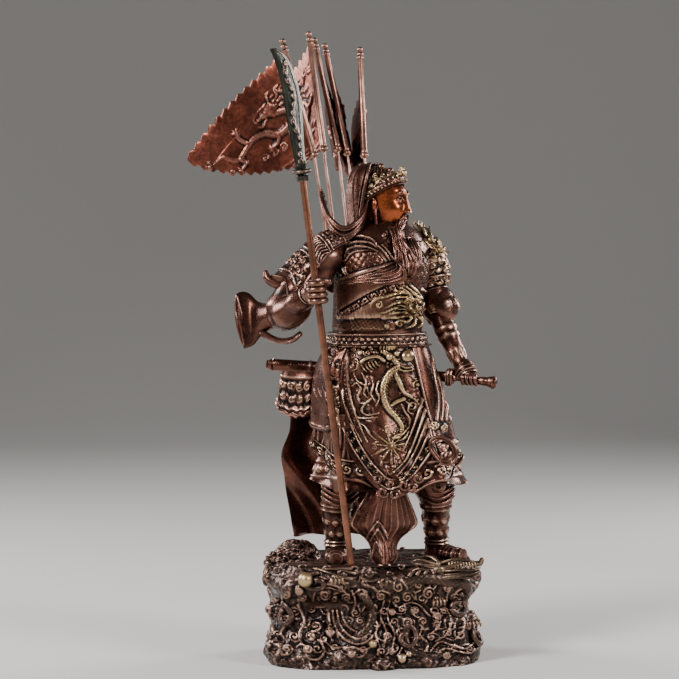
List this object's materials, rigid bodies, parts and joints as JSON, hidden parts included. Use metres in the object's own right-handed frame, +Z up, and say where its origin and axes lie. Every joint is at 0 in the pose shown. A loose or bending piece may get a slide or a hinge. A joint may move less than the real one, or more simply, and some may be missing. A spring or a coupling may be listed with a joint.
{
  "type": "cast statuette",
  "caption": "Standing bearded general in robe and armour on a carved dragon rock, with an upright glaive, a hip sword and small pennants on his back.",
  "frame": {"origin": "middle of the rock's flat underside, on the surface that it stands on", "axes": "+Z up, -Y the way the feet and the hips face, +X the general's left"},
  "size_m": [0.228, 0.2287, 0.4752],
  "materials": {
    "base_bronze": "cast bronze with a dark brown patina, rubbed lighter on the high spots",
    "figure_bronze": "cast copper alloy, brown patina, copper-pink rubbed edges and gilt relief",
    "shaft_copper": "smooth reddish copper",
    "blade_bronze": "cast bronze with a dark green patina",
    "pennant_copper": "cast copper, reddish brown, satin"
  },
  "bodies": {
    "root": {"base": "base_bronze", "figure": "figure_bronze", "glaive_shaft": "shaft_copper", "glaive_blade": "blade_bronze", "pennant_1": "pennant_copper", "pennant_2": "pennant_copper", "pennant_3": "pennant_copper", "pennant_4": "pennant_copper", "pennant_5": "pennant_copper"}
  },
  "joints": []
}
